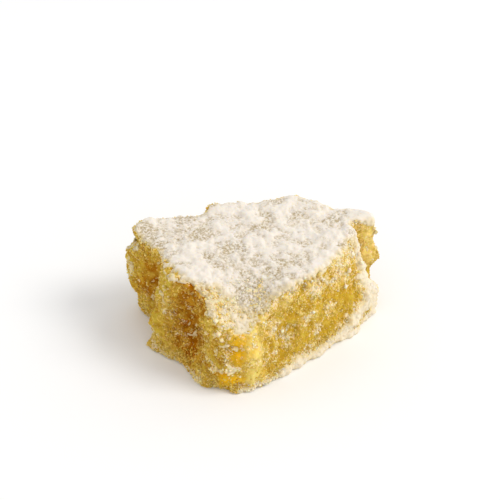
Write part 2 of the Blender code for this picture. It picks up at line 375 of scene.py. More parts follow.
# %% Where the coat is worn open or lies thick
WORN_EDGES = (
    # where crumbs break the coat open: the line, its reach and how much of the sugar has gone
    (((0.150, 0.39, 0.92), (0.175, 0.33, 0.92), (0.203, 0.30, 0.92)), 2.8, 1.8),
    (((0.203, 0.29, 0.90), (0.24, 0.25, 0.90)), 2.0, 1.0),
    (((0.24, 0.25, 0.90), (0.261, 0.236, 0.87), (0.305, 0.18, 0.82), (0.331, 0.116, 0.80)), 2.1, 1.1),
    (((0.331, 0.116, 0.80), (0.349, 0.081, 0.764), (0.37, 0.05, 0.70)), 1.8, 0.8),
    (((0.315, 0.17, 0.84), (0.345, 0.18, 0.85), (0.37, 0.15, 0.79)), 3.8, 1.55),
    (((0.03, 0.66, 0.93), (0.05, 0.60, 0.93), (0.10, 0.52, 0.93)), 1.5, 0.7),
)
DRIFTS = (
    # where it lies thick and white
    ((0.35, 0.67, 0.97), 3.2, 0.8),
    ((0.41, 0.21, 0.93), 2.6, 0.8),
    ((0.29, 0.30, 0.95), 2.4, 0.8),
    ((0.48, 0.77, 0.97), 3.2, 0.8),
    ((0.25, 0.50, 0.97), 2.4, 0.7),
    ((0.80, 0.61, 0.96), 3.6, 0.9),
    ((0.63, 0.85, 0.97), 4.2, 0.8),
    ((0.90, 0.76, 0.98), 4.0, 0.8),
    ((0.57, 0.21, 0.93), 2.6, 0.7),
    ((0.47, 0.45, 0.97), 2.6, 0.5),
    ((0.56, 0.61, 0.97), 2.8, 0.6),
    ((0.66, 0.63, 0.97), 2.6, 0.6),
    ((0.11, 0.71, 0.97), 2.4, 0.5),
    ((0.45, 0.06, 0.78), 2.6, 0.8),
    ((0.45, 0.12, 0.72), 2.6, 0.6),
)

# %% Ridges, hollows, glowing and rubbed places of the paste
LIT_RIDGES = (
    # thin, dry ridges that the light shines through: the line, its reach and how much paler it is
    (((0.50, 0.07, 0.64), (0.51, 0.05, 0.48), (0.51, 0.04, 0.30), (0.51, 0.03, 0.10)), 3.6, 0.95),
    (((0.54, 0.14, 0.70), (0.62, 0.21, 0.78)), 2.8, 0.7),
    (((0.175, 0.33, 0.90), (0.165, 0.32, 0.80), (0.15, 0.29, 0.60), (0.12, 0.31, 0.30)), 3.4, 0.55),
    (((0.085, 0.37, 0.08), (0.12, 0.33, 0.13)), 2.4, 0.6),
    (((0.02, 0.64, 0.80), (0.02, 0.61, 0.62)), 2.8, 0.5),
    (((0.95, 0.75, 0.86), (0.94, 0.755, 0.65), (0.95, 0.76, 0.48)), 3.6, 0.9),
)
DEEP_LINES = (
    # the hollow under the lip, whose colour is painted shade: the line, its reach and how strong it is
    (((0.28, 0.21, 0.86), (0.25, 0.25, 0.62), (0.23, 0.27, 0.42), (0.26, 0.21, 0.20)), 5.6, 1.0),
    (((0.27, 0.21, 0.80), (0.25, 0.25, 0.50)), 3.0, 1.25),
    (((0.10, 0.52, 0.72), (0.09, 0.52, 0.45)), 4.2, 0.6),
)
GLOWING_PLACES = (
    # where light comes through the soft point: the place, its reach and how strongly it glows
    ((0.45, 0.04, 0.56), 3.2, 1.0),
    ((0.44, 0.03, 0.42), 3.0, 0.8),
    ((0.39, 0.01, 0.18), 2.8, 1.0),
    ((0.43, 0.01, 0.16), 2.8, 1.0),
    ((0.50, 0.03, 0.45), 2.6, 0.5),
)
RUBBED_SMOOTH = (
    # where handling has pressed the crumbs flat: the line, its reach and how much
    (((0.955, 0.77, 0.92), (0.97, 0.77, 0.70), (0.96, 0.77, 0.50)), 6.5, 1.15),
)

# %% Reading the tables
def strongest(points, table):
    """The strongest of a table's places or lines at each point, each with its reach and strength."""
    field = np.zeros(len(points))
    for stops, reach, strong in table:
        field = np.maximum(field, strong * near_line(points, stops, reach * MM))
    return field


def gap_to(points, chosen):
    """The distance from each point to the nearest of the chosen points."""
    tree = kdtree.KDTree(int(chosen.sum()))
    for i, spot in enumerate(points[chosen].tolist()):
        tree.insert(spot, i)
    tree.balance()
    return np.array([tree.find(spot)[2] for spot in points.tolist()])


# %% [markdown]
# ### The cover and its edge
#
# The rule comes first: facing up, height and noise. The tables then take sugar away or add it. A smooth
# field alone would end in a smooth edge, so the edge is frayed afterwards: flakes cling outside it and
# gaps open inside it, by how far each point lies from it. The full bands come last and stay whole.

# %% The cover, before its edge frays
RAGGED = (
    # noise width in millimetres, strength and seed
    (3.0, 0.45, 1),
    (1.2, 0.50, 2),
    (0.55, 0.70, 3),
)
KEPT_ON_TOP = 0.80  # the least that stays on the top, however thin the coat
KEPT_ON_SLOPES = 0.70


def sugar_cover(points, normals):
    """How much sugar lies on each point of the net: 0 is bare and 1 is a full coat."""
    ragged = noise_layers(points, RAGGED)
    height = (points[:, 2] - low.z) / size.z
    facing = normals[:, 2] + 0.46 * ragged - 0.30 * (1.0 - ramp(height, 0.55, 0.9))
    cover = ramp(facing, 0.05, 0.95)
    on_top = ramp(normals[:, 2], 0.75, 0.97) * ramp(height, 0.86, 0.94)
    cover = np.maximum(cover, on_top)
    worn = np.clip(0.7 + ragged, 0.0, 1.4) * (1.0 - 0.65 * on_top)
    cover -= 0.5 * strongest(points, THIN_PLACES) * worn
    on_slopes = ramp(normals[:, 2], 0.55, 0.78) * ramp(height, 0.62, 0.76)
    cover = np.maximum(cover, np.maximum(KEPT_ON_TOP * on_top, KEPT_ON_SLOPES * on_slopes))
    streaks = noise_at(points, (2.2 * MM, 0.8 * MM, 0.6 * MM), 4) + 0.6 * noise_at(points, 0.5 * MM, 5)
    cover -= strongest(points, WORN_EDGES) * np.clip(0.40 + 1.3 * streaks, 0.0, 1.3)
    for stops, reach, held in EDGES_WITH_SUGAR:
        edge = near_line(points, stops, reach * MM) + 0.32 * ragged
        cover = np.maximum(cover, held * ramp(edge, 0.05, 0.75))
    return np.clip(cover + 0.35 * strongest(points, DRIFTS) * ramp(cover, 0.2, 0.6), 0.0, 1.5)


# %% Fraying the edge
FRAY_WIDTH = 1.9 * MM
HOLE_REACH = 0.45  # how far in the holes go, against how far out the flakes go
FLAKE_COVER = 0.82
FRAYED = (
    # noise width in millimetres, strength and seed
    (2.2, 0.50, 41),
    (0.95, 0.60, 42),
    (0.50, 0.30, 43),
)


def frayed(points, cover, wide):
    """Breaks the coat's edge: flakes cling outside it and gaps open inside it, over this width."""
    pattern = noise_layers(points, FRAYED)
    outside = gap_to(points, cover > 0.5)
    inside = gap_to(points, cover <= 0.5)
    clinging = ramp(pattern + 0.15 - outside / wide, 0.0, 0.45)
    holes = ramp(-pattern - 0.10 - inside / (HOLE_REACH * wide), 0.0, 0.45)
    return np.maximum(cover * (1.0 - 0.8 * holes), FLAKE_COVER * clinging * (outside > 0.0)), outside


# %% The side that faces the lamp, and where the paste is smooth
# How much each point faces the lamp, on the right and forward. The colours read it as painted light and
# shade: paler on the lit side, warmer and more saturated on the side away from the lamp.
lamp_facing = ramp(net_normals[:, 0] - 0.3 * net_normals[:, 1], -0.4, 0.6)
up = net_points[:, 2] / size.z
lit = strongest(net_points, LIT_RIDGES)
lit *= np.clip(0.8 + 0.4 * noise_at(net_points, 1.8 * MM, 47), 0.4, 1.0)
hollow = strongest(net_points, DEEP_LINES)
glow = strongest(net_points, GLOWING_PLACES)
rubbed = np.minimum(strongest(net_points, RUBBED_SMOOTH), 1.0)
smooth_places = np.maximum(np.maximum(glow, lit * (0.3 + 0.7 * lamp_facing)), rubbed)
print(f"{np.mean(smooth_places > 0.5):.0%} of the skin is smooth")

# %% The cover
fray = FRAY_WIDTH * (0.35 + 0.65 * up) * (0.65 + 0.35 * lamp_facing)
cover, gap = frayed(net_points, sugar_cover(net_points, net_normals), fray)
cover *= 1.0 - 0.6 * glow
cover *= 1.0 - 0.8 * smooth_places * (gap > 0.0)
below_the_edge = np.maximum(gap > 0.0, 1.0 - ramp(up, 0.60, 0.72))
cover *= 1.0 - 0.9 * np.clip(hollow, 0.0, 1.0) * below_the_edge
print(f"sugar covers {np.mean(cover[~on_foot] > 0.5):.0%} of the skin above the foot")

# %% Full bands, with a scalloped edge of clots
CLOT_WIDTH = 1.45 * MM
FULL_BAND = 1.0  # lines that hold more than this are covered without a break

wavy = net_points + 0.25 * MM * noise_at(net_points, 0.8 * MM, 36)[:, None]
clots, clot_shades = cell_domes(wavy, CLOT_WIDTH, 3)
lumpy = noise_layers(net_points, ((1.1, 0.18, 48), (0.5, 0.14, 49)))
for stops, reach, held in EDGES_WITH_SUGAR:
    if held > FULL_BAND:
        band = near_line(net_points, stops, reach * MM)
        band += lumpy * 2.9 / (0.2 + reach)
        band += 0.4 * (clots - 0.55)
        cover = np.maximum(cover, 0.95 * ramp(band, 0.25, 0.6))
print(f"with full bands it covers {np.mean(cover[~on_foot] > 0.5):.0%}")

# %% From cover to thickness
BARE = -0.55 * MM  # so deep under the paste that no crumb uncovers it
COATED = 0.30 * MM

thickness = BARE + (COATED - BARE) * cover
covered = ramp(thickness, -0.15 * MM, 0.10 * MM)
print(f"the coat's thickness goes up to {thickness.max() / MM:.2f} mm")

# %% Where the coat is thin and stained
thin = strongest(net_points, THIN_PLACES)
for stops, reach, held in EDGES_WITH_SUGAR:
    thin = np.maximum(thin, 0.16 * near_line(net_points, stops, 1.3 * reach * MM))
thin -= 0.35 * strongest(net_points, DRIFTS) + 0.3 * rubbed
print(f"the coat is thin on {np.mean(thin > 0.2):.0%} of the skin")

# %% Dusted paste outside the edge, and the soaked rim inside it
DUSTED_WIDTH = 3.6 * MM
RIM_START = 0.15 * MM
RIM_WIDTH = 1.15  # in millimetres, and more on a slope
RIM_WIDTH_ON_SLOPES = 1.4

gap += noise_layers(net_points, ((1.3, 0.7, 44), (0.6, 0.5, 45)), MM)
near_sugar = 1.0 - ramp(gap, 0.0, DUSTED_WIDTH)
# Less dust on the side away from the lamp, which paints shade there; the crumbs and grains read it too.
near_sugar *= 0.5 + 0.5 * lamp_facing
near_sugar *= 1.0 - 0.5 * smooth_places
slopes = ramp(net_normals[:, 2], 0.5, 0.7) * (1.0 - ramp(up, 0.86, 0.93))
inside = gap_to(net_points, cover <= 0.5) + 0.35 * MM * noise_at(net_points, 0.9 * MM, 46)
rim = 1.0 - np.clip((inside - RIM_START) / ((RIM_WIDTH + RIM_WIDTH_ON_SLOPES * slopes) * MM), 0.0, 1.0)
soaked = strongest(net_points, SOAKED_PLACES) * (0.7 + 0.5 * noise_at(net_points, 0.8 * MM, 50))
rim = np.clip(np.maximum(rim, soaked), 0.0, 1.0)
print(f"{np.mean((rim > 0.5) & (cover > 0.5)):.0%} of the skin is soaked sugar")

# %% [markdown]
# ### The shaded hollow and the crowding crumbs
#
# Crumbs crowd where the paste tore, and it was pressed smooth where it was handled. The deep hollow
# shows more relief, and its colour is painted darker for the shade that fills it. Lower down, the paste
# and its bits are darker too. So the crumbs' crowding, the hollow and the darker low parts are fields,
# and the relief, the finish and the loose bits all read them.

# %% The shaded hollow, and where the paste is darker low down
# The hollow under the lip, which the finish paints darker for its shade.
shaded_hollow = np.clip(hollow * (1.0 + 0.35 * noise_at(net_points, 2.6 * MM, 21)), 0.0, 1.0)
# Darker and less pale low down, more so on the side facing the lamp, and not on the lit ridges.
darker_low_down = np.clip(1.3 - 2.0 * up + 0.35 * noise_at(net_points, 2.6 * MM, 24), 0.0, 1.0)
darker_low_down *= (1.0 - lit) * (0.4 + 0.6 * lamp_facing)
print(f"{np.mean(shaded_hollow > 0.5):.0%} of the skin is moist")

# %% Where crumbs crowd
clusters = noise_layers(net_points, ((3.4, 0.7, 22), (1.5, 0.6, 23)))
crowding = 0.31 + 0.16 * lamp_facing + 0.48 * clusters + 0.14 * shaded_hollow - 0.30 * glow
crowding += 0.25 * near_sugar + 0.15 * ramp(-up, -0.25, 0.0) - 0.25 * lit
crowding = np.clip(crowding, 0.04, 0.92)
low_rows = 1.0 - ramp(up, 0.06, 0.32)
shaded_foot = low_rows * (1.0 - lamp_facing)
print(f"crumbs crowd {np.mean(crowding > 0.5):.0%} of the skin")

# %% The paste's relief
LUMPS = (
    # lump width and height in millimetres, and the noise's seed
    (3.6, 0.20, 11),
    (1.5, 0.31, 12),
    (0.7, 0.13, 13),
)
CRUMB_WIDTH = 1.0 * MM
CRUMB_HEIGHT = 0.23 * MM
GRIT_WIDTH = 0.52 * MM
GRIT_HEIGHT = 0.15 * MM


def dome_relief(domes, shades, tall):
    """Cells whose shade is below the crowding rise as whole domes, and the others as low ones."""
    return tall * (domes * (0.35 + 0.65 * (shades < crowding)) - 0.40)


crumb_domes, crumb_shades = cell_domes(net_points, CRUMB_WIDTH, 1)
grit_domes, grit_shades = cell_domes(net_points, GRIT_WIDTH, 2)
relief = noise_layers(net_points, LUMPS, MM)
relief += dome_relief(crumb_domes, crumb_shades, CRUMB_HEIGHT)
relief += dome_relief(grit_domes, grit_shades, GRIT_HEIGHT)
relief *= (1.0 - 0.85 * covered) * (1.0 - 0.35 * smooth_places) * (1.0 + 0.35 * shaded_hollow)
relief[on_foot] = 0.0
print(f"the paste's relief runs from {relief.min() / MM:.2f} to {relief.max() / MM:.2f} mm")

# %% The paste body
FULL_RELIEF = 0.3 * MM  # the height that the finish reads as 1

pale_crumb = ramp(crumb_domes, 0.1, 0.6) * (crumb_shades < crowding * 0.8)
pale_grit = ramp(grit_domes, 0.1, 0.7) * (grit_shades < crowding)
pale = np.maximum(0.75 * pale_crumb * (0.6 + 0.4 * grit_domes), pale_grit)
pale[on_foot] = 0.4

paste = copy_piece(net, "paste_body")
put_points(paste, np.clip(net_points + net_normals * relief[:, None], low, high))
for label, field in {
    "relief": relief / FULL_RELIEF,
    "pale": pale,
    "shaded_hollow": shaded_hollow,
    "glow": glow,
    "lit": lit,
    "near_sugar": near_sugar,
    "darker_low_down": darker_low_down,
    "shaded_foot": shaded_foot,
    "dusty": ramp(cover, 0.2, 0.7),
    "lamp_facing": lamp_facing,
}.items():
    keep_values(paste, label, field)
print("the paste body has", len(paste.data.attributes), "attributes")

# %% [markdown]
# ## The sugar coat
#
# Icing sugar lies like snow: it fills the pits between the crumbs, drifts into soft lumps a millimetre or
# two wide and has a fine, dry grain. On steep sides it holds on only as round clots. It could be painted
# on, but then it would have no edge. So it is a second skin made from the same net and pushed out by the
# thickness field: it rises out of the paste where there is sugar, stays hidden just under it where there
# isn't, and remains one closed body.

# %% The sugar's relief
SUGAR_LUMPS = (
    # lump width and height in millimetres, and the noise's seed
    (4.2, 0.22, 31),
    (1.9, 0.27, 32),
    (0.9, 0.15, 33),
    (0.48, 0.08, 34),
)
CLOT_HEIGHT = 0.58 * MM

sugar_relief = noise_layers(net_points, SUGAR_LUMPS, MM)
steep = 1.0 - ramp(net_normals[:, 2], 0.15, 0.75)
clotted = CLOT_HEIGHT * steep * ramp(cover, 0.25, 0.7)
sugar_relief += clotted * (clots * (0.4 + 0.6 * clot_shades) - 0.35)
sugar_relief *= 1.0 - 0.6 * rubbed
print(f"the sugar's relief runs from {sugar_relief.min() / MM:.2f} to {sugar_relief.max() / MM:.2f} mm")

# %% The coat
PIT_FLOOR = 0.09 * MM
FLOOR_GRAIN = 0.05 * MM
ABOVE_FOOT = 0.15 * MM  # under the cookie the coat stays hidden inside the paste
ABOVE_TABLE = 0.02 * MM
FULL_THICKNESS = 0.32 * MM  # the thickness over the paste that the finish reads as 1

# Where it covers, it stays unbroken: its pits stop short of the paste.
floor = BARE + (PIT_FLOOR - BARE) * ramp(cover, 0.45, 0.75)
floor += FLOOR_GRAIN * noise_at(net_points, 0.5 * MM, 35)
coat_height = np.maximum(thickness + sugar_relief, floor)
coat_points = net_points + net_normals * coat_height[:, None]
coat_points[on_foot, 2] = ABOVE_FOOT
coat_points[:, 2] = np.maximum(coat_points[:, 2], ABOVE_TABLE)
coat = copy_piece(net, "sugar_coat")
put_points(coat, np.clip(coat_points, low, high))
for label, field in {
    "thick": ramp(coat_height - relief, 0.0, FULL_THICKNESS),
    "rim": rim,
    "lamp_facing": lamp_facing,
    "wall": steep,
    "thin": thin,
    "pit": ramp(-sugar_relief, -0.05 * MM, 0.25 * MM),
}.items():
    keep_values(coat, label, field)
print(f"the coat goes up to {coat_height.max() / MM:.2f} mm over the net")

# %% The outer skin
# The outer skin is whichever of the two lies further out; the loose bits are strewn on it.
outer = np.maximum(relief, coat_height)
put_points(net, net_points + net_normals * outer[:, None])
net.data.calc_loop_triangles()
print("each skin has", len(net.data.loop_triangles), "triangles")

# %% [markdown]
# ## Crumbs, almond bits and grains
#
# Loose bits stick to the moist paste. A few small stones of each kind are modelled once: cut and rounded
# cubes for the larger ones, chips of twenty faces for the small, sharp crumbs. They are then copied many
# times, each with its own turn, size and squash and half sunk into the surface, into one joined mesh. A
# particle system would scatter them too, but its copies are not meshes of their own. Where they lie is
# drawn by chance, weighted by fields over the surface, with a fixed seed, and the few that stand out are
# listed.

# %% One rough crumb
def make_one_across(stone):
    """Scales a stone about its middle until it is 1 across at its widest."""
    points = points_of(stone)
    put_points(stone, points * 0.5 / np.linalg.norm(points, axis=1).max())


def rough_crumb(name, cuts, roundness, roughness, seed):
    """A cube, cut, rounded and knocked uneven."""
    bpy.ops.object.select_all(action="DESELECT")
    bpy.ops.mesh.primitive_cube_add(size=0.85)
    crumb = bpy.context.active_object
    crumb.name = name
    bpy.ops.object.mode_set(mode="EDIT")
    bpy.ops.mesh.select_all(action="SELECT")
    if cuts:
        bpy.ops.mesh.subdivide(number_cuts=cuts)
    bpy.ops.transform.tosphere(value=roundness)
    bpy.ops.transform.vertex_random(offset=roughness, uniform=0.5, normal=0.5, seed=seed)
    bpy.ops.mesh.quads_convert_to_tris()
    bpy.ops.object.mode_set(mode="OBJECT")
    make_one_across(crumb)
    return crumb


# %% One small chip
def rough_chip(name, roughness, seed):
    """A ball of twenty flat faces, knocked uneven."""
    bpy.ops.object.select_all(action="DESELECT")
    bpy.ops.mesh.primitive_ico_sphere_add(subdivisions=1, radius=0.45)
    chip = bpy.context.active_object
    chip.name = name
    bpy.ops.object.mode_set(mode="EDIT")
    bpy.ops.mesh.select_all(action="SELECT")
    bpy.ops.transform.vertex_random(offset=roughness, uniform=0.7, normal=0.3, seed=seed)
    bpy.ops.object.mode_set(mode="OBJECT")
    make_one_across(chip)
    return chip


# %% Chance places on a surface
def chance_places(surface, weights, count, rng):
    """Random places on a surface with their normals, more of them where the points' weights are high."""
    mesh = surface.data
    mesh.calc_loop_triangles()
    corners = np.empty(len(mesh.loop_triangles) * 3, np.int32)
    mesh.loop_triangles.foreach_get("vertices", corners)
    corners = corners.reshape(-1, 3)
    points = points_of(surface)
    normals = normals_of(surface)
    a, b, c = (points[corners[:, k]] for k in range(3))
    areas = np.linalg.norm(np.cross(b - a, c - a), axis=1) / 2
    odds = areas * weights[corners].mean(axis=1)
    picked = rng.choice(len(corners), size=count, p=odds / odds.sum())
    mix = rng.dirichlet((1.0, 1.0, 1.0), size=count)
    spots = np.einsum("ij,ijk->ik", mix, points[corners[picked]])
    outward = np.einsum("ij,ijk->ik", mix, normals[corners[picked]])
    outward /= np.linalg.norm(outward, axis=1, keepdims=True)
    return spots, outward, corners[picked, 0]


# %% Turned every way
def random_turns(count, rng):
    """Rotation matrices, evenly spread over all turns."""
    q = rng.normal(size=(count, 4))
    w, x, y, z = (q / np.linalg.norm(q, axis=1, keepdims=True)).T
    rows = (
        (1 - 2 * (y * y + z * z), 2 * (x * y - z * w), 2 * (x * z + y * w)),
        (2 * (x * y + z * w), 1 - 2 * (x * x + z * z), 2 * (y * z - x * w)),
        (2 * (x * z - y * w), 2 * (y * z + x * w), 1 - 2 * (x * x + y * y)),
    )
    return np.array(rows).transpose(2, 0, 1)


# %% Scattering stones over a surface
def scatter(name, stones, surface, weights, count, sizes, sunk, seed, local, laid=()):
    """One mesh of many bits lying on a surface.

    sizes is (smallest, largest), and most are near the smallest. local holds the surface's values that
    each bit keeps from the place where it lies. laid holds the place and size of bits that are given one
    by one before the others.
    """
    rng = np.random.default_rng(seed)
    spots, outward, nearest = chance_places(surface, weights, count, rng)
    small, large = sizes
    across = small + (large - small) * rng.beta(1.3, 3.0, size=count)
    points = points_of(surface)
    normals = normals_of(surface)
    for i, (spot, wide) in enumerate(laid):
        nearest[i] = np.argmin(np.linalg.norm(points - place(*spot), axis=1))
        spots[i], outward[i], across[i] = points[nearest[i]], normals[nearest[i]], wide * MM
    squash = rng.uniform(0.65, 1.0, size=(count, 3))
    turns = random_turns(count, rng)
    centres = spots + outward * (across * (0.5 - sunk))[:, None]
    room = across[:, None] * 0.5
    centres = np.clip(centres, np.array(low) + room, np.array(high) - room)
    values = {"own_shade": rng.uniform(size=count)}
    values.update({label: field[nearest] for label, field in local.items()})
    verts, faces, order = [], [], []
    start = 0
    for kind, stone in enumerate(stones):
        mine = np.arange(kind, count, len(stones))
        shape = points_of(stone)
        sides_of = np.array([list(face.vertices) for face in stone.data.polygons])
        placed = np.einsum("nij,nvj->nvi", turns[mine], shape[None] * squash[mine][:, None])
        placed = placed * across[mine][:, None, None] + centres[mine][:, None]
        starts = start + np.arange(len(mine)) * len(shape)
        verts.append(placed.reshape(-1, 3))
        faces.append((sides_of[None] + starts[:, None, None]).reshape(-1, 3))
        order.append(np.repeat(mine, len(shape)))
        start += len(mine) * len(shape)
    mesh = bpy.data.meshes.new(name)
    mesh.from_pydata(np.vstack(verts), [], np.vstack(faces))
    mesh.shade_smooth()
    piece = bpy.data.objects.new(name, mesh)
    bpy.context.scene.collection.objects.link(piece)
    for label, value in values.items():
        keep_values(piece, label, value[np.concatenate(order)])
    print(f"{name}: {count} bits, {len(mesh.polygons)} faces")
    return piece


# %% The stones
large_crumbs = [rough_crumb(f"crumb_{k}", 1, 0.35, 0.17, 40 + k) for k in range(6)]
chips = [rough_chip(f"chip_{k}", 0.24, 80 + k) for k in range(8)]
small_crumbs = [rough_crumb(f"grain_{k}", 0, 0.5, 0.16, 60 + k) for k in range(4)]
for stone in (large_crumbs[0], chips[0], small_crumbs[0]):
    print(stone.name, "has", len(stone.data.polygons), "faces")

# %% What the surface tells the bits
bare = 1.0 - covered
rim_zone = ramp(thickness, -0.50 * MM, -0.10 * MM) * (1.0 - ramp(thickness, 0.05 * MM, 0.25 * MM))
for field in (bare, rim_zone):
    field[on_foot] = 0.0
off_foot = 1.0 - on_foot
rough = 1.0 - 0.7 * smooth_places
# The first value marks the hollow and the glowing point, where the bits' colours are painted shade and
# glow.
local = {"hollow_or_glow": np.maximum(shaded_hollow, glow), "near_sugar": near_sugar, "lamp_facing": lamp_facing, "darker_low_down": darker_low_down}
print("each bit keeps", ", ".join(local))

# %% Bits and clumps that stand out
BITS_IN_PLACE = (
    # pieces of almond: the place, as shares of the box, and the width in millimetres
    ((0.698, 0.288, 0.816), 2.4),
    ((0.732, 0.326, 0.870), 1.7),
    ((0.783, 0.400, 0.885), 1.3),
    ((0.750, 0.320, 0.640), 1.0),
    ((0.665, 0.248, 0.740), 1.1),
    ((0.575, 0.167, 0.460), 1.0),
    ((0.844, 0.432, 0.464), 1.1),
    ((0.894, 0.521, 0.509), 1.2),
    ((0.827, 0.401, 0.273), 1.1),
    ((0.045, 0.680, 0.950), 1.3),
    ((0.340, 0.860, 0.990), 1.3),
)
CLUMPS_IN_PLACE = (
    # white clumps of sugar: the place and the width
    ((0.842, 0.449, 0.592), 1.7),
    ((0.856, 0.490, 0.730), 1.8),
    ((0.904, 0.588, 0.684), 1.6),
    ((0.873, 0.559, 0.805), 1.8),
    ((0.905, 0.600, 0.760), 1.4),
    ((0.605, 0.199, 0.457), 1.2),
    ((0.679, 0.294, 0.919), 1.2),
    ((0.760, 0.360, 0.790), 1.0),
    ((0.735, 0.330, 0.800), 1.0),
    ((0.322, 0.097, 0.570), 1.5),
    ((0.373, 0.057, 0.645), 1.8),
    ((0.380, 0.050, 0.576), 1.7),
    ((0.412, 0.048, 0.613), 0.9),
    ((0.404, 0.045, 0.503), 1.0),
    ((0.363, 0.079, 0.756), 1.6),
    ((0.323, 0.096, 0.303), 0.9),
    ((0.292, 0.109, 0.137), 0.9),
    ((0.312, 0.117, 0.363), 0.8),
    ((0.288, 0.099, 0.070), 0.9),
    ((0.303, 0.072, 0.068), 0.8),
)
CLUMPS_IN_A_ROW = (
    # rows of clumps where sugar was wiped onto the point: the line, how many and how wide the widest is
    (((0.323, 0.096, 0.303), (0.338, 0.071, 0.297), (0.352, 0.050, 0.275)), 6, 0.9),
    (((0.379, 0.036, 0.413), (0.393, 0.023, 0.364), (0.408, 0.015, 0.310)), 6, 0.95),
    (
        ((0.345, 0.055, 0.235), (0.36, 0.036, 0.262), (0.382, 0.018, 0.255), (0.429, 0.015, 0.284)),
        14, 1.15,
    ),
)

# %% Clumps strung in rows
OFF_THE_LINE = (0.006, 0.006, 0.014)  # how far a clump strays from its row, as shares of the box


def clumps_in_rows(rows, rng):
    """Places and widths for clumps strung along lines, each a little off its line."""
    laid = []
    for stops, count, widest in rows:
        along = np.sort(rng.uniform(0.0, len(stops) - 1.0, size=count))
        for share in along:
            spot = [np.interp(share, range(len(stops)), axis) for axis in zip(*stops)]
            spot += rng.normal(scale=OFF_THE_LINE)
            laid.append((tuple(spot), widest * rng.uniform(0.5, 1.0)))
    return tuple(laid)


laid_clumps = CLUMPS_IN_PLACE + clumps_in_rows(CLUMPS_IN_A_ROW, np.random.default_rng(9))
print(len(BITS_IN_PLACE), "bits and", len(laid_clumps), "clumps are laid by hand")

# %% Almond crumbs and bits
crumb_weight = (
    bare * ramp(bare, 0.05, 0.5) * crowding ** 1.3 * rough * (1.0 + 1.3 * low_rows + 1.2 * shaded_foot)
)
crumbs = scatter(
    "almond_crumbs", chips, net, crumb_weight,
    count=9000, sizes=(0.28 * MM, 0.92 * MM), sunk=0.40, seed=5, local=local,
)
bits = scatter(
    "almond_bits", large_crumbs, net, bare * rough,
    count=80, sizes=(0.8 * MM, 1.5 * MM), sunk=0.58, seed=6, local=local, laid=BITS_IN_PLACE,
)

# %% Sugar clumps and grains
gathered = ramp(noise_at(net_points, 1.7 * MM, 25), 0.15, 0.6) * ramp(near_sugar, 0.35, 0.8) * bare
low_down = ramp(-net_points[:, 2], -5 * MM, 0.0)
clump_weight = rim_zone * rough * (0.2 + crowding) * (0.3 + off_foot * low_down)
clump_weight += 0.35 * gathered * rough
clumps = scatter(
    "sugar_clumps", large_crumbs, net, clump_weight,
    count=1800, sizes=(0.27 * MM, 1.0 * MM), sunk=0.42, seed=7, local=local, laid=laid_clumps,
)
strewn = 0.25 + near_sugar + 0.3 * shaded_foot
grain_weight = bare * strewn * (1.0 - 0.6 * shaded_hollow) * rough * (1.0 - 0.6 * glow)
grain_weight += 0.05 * covered * off_foot
grains = scatter(
    "sugar_grains", small_crumbs, net, grain_weight,
    count=9000, sizes=(0.12 * MM, 0.27 * MM), sunk=0.3, seed=8, local=local,
)

# %% Clear the bench
for piece in large_crumbs + small_crumbs + chips + [net]:
    bpy.data.objects.remove(piece)

# %% [markdown]
# ## Finishes
#
# All the finishes share two effects, so each is a node group that is built once. Fine grain gives a bump,
# and a mottled shade and depth for each grit, from noise and round cells. Sugar dust lightens a colour in
# cream specks, by an amount that each finish gives, because no bit of such a cookie is quite free of
# sugar.

# %% A small kit for shader nodes
def new_group(name, inputs, outputs):
    """An empty shader node group: (name, kind, default) for each input, (name, kind) for each output."""
    group = bpy.data.node_groups.new(name, "ShaderNodeTree")
    for label, kind, default in inputs:
        socket = group.interface.new_socket(label, in_out="INPUT", socket_type=kind)
        socket.default_value = default
    for label, kind in outputs:
        group.interface.new_socket(label, in_out="OUTPUT", socket_type=kind)
    return group, group.nodes.new("NodeGroupInput"), group.nodes.new("NodeGroupOutput")


def node(tree, kind, settings=None, **inputs):
    """Adds a node, sets its settings, and fills inputs with values or links."""
    made = tree.nodes.new("ShaderNode" + kind)
    for name, value in (settings or {}).items():
        setattr(made, name, value)
    for name, value in inputs.items():
        fill(tree, made, name.replace("_", " "), value)
    return made


def fill(tree, made, name, value):
    """Sets or links an input, by its name, or by its number as in _0."""
    socket = made.inputs[int(name[1:])] if name[1:].isdigit() else made.inputs[name]
    if isinstance(value, bpy.types.NodeSocket):
        tree.links.new(value, socket)
    else:
        socket.default_value = value


def attribute(tree, name):
    """The value that a piece keeps at each point under this name."""
    return node(tree, "Attribute", {"attribute_name": name}).outputs["Fac"]


# %% Sums, ramps and colours in a shader
def maths(tree, operation, a, b=0.0, clamp=False):
    made = node(tree, "Math", {"operation": operation, "use_clamp": clamp}, _0=a, _1=b)
    return made.outputs[0]


def add_share(tree, level, extra, share, clamp=False):
    """The level with a share of something else added."""
    return maths(tree, "ADD", level, maths(tree, "MULTIPLY", extra, share), clamp)


def blend_colour(tree, amount, a, b):
    made = node(tree, "Mix", {"data_type": "RGBA"})
    fill(tree, made, "_0", amount)
    fill(tree, made, "_6", a)
    fill(tree, made, "_7", b)
    return made.outputs[2]


def from_to(tree, value, start, end, low_value=0.0, high_value=1.0):
    """Maps start..end to low_value..high_value, held at both ends."""
    made = node(tree, "MapRange", {"interpolation_type": "SMOOTHSTEP"}, Value=value)
    for index, number in enumerate((start, end, low_value, high_value), 1):
        made.inputs[index].default_value = number
    return made.outputs[0]


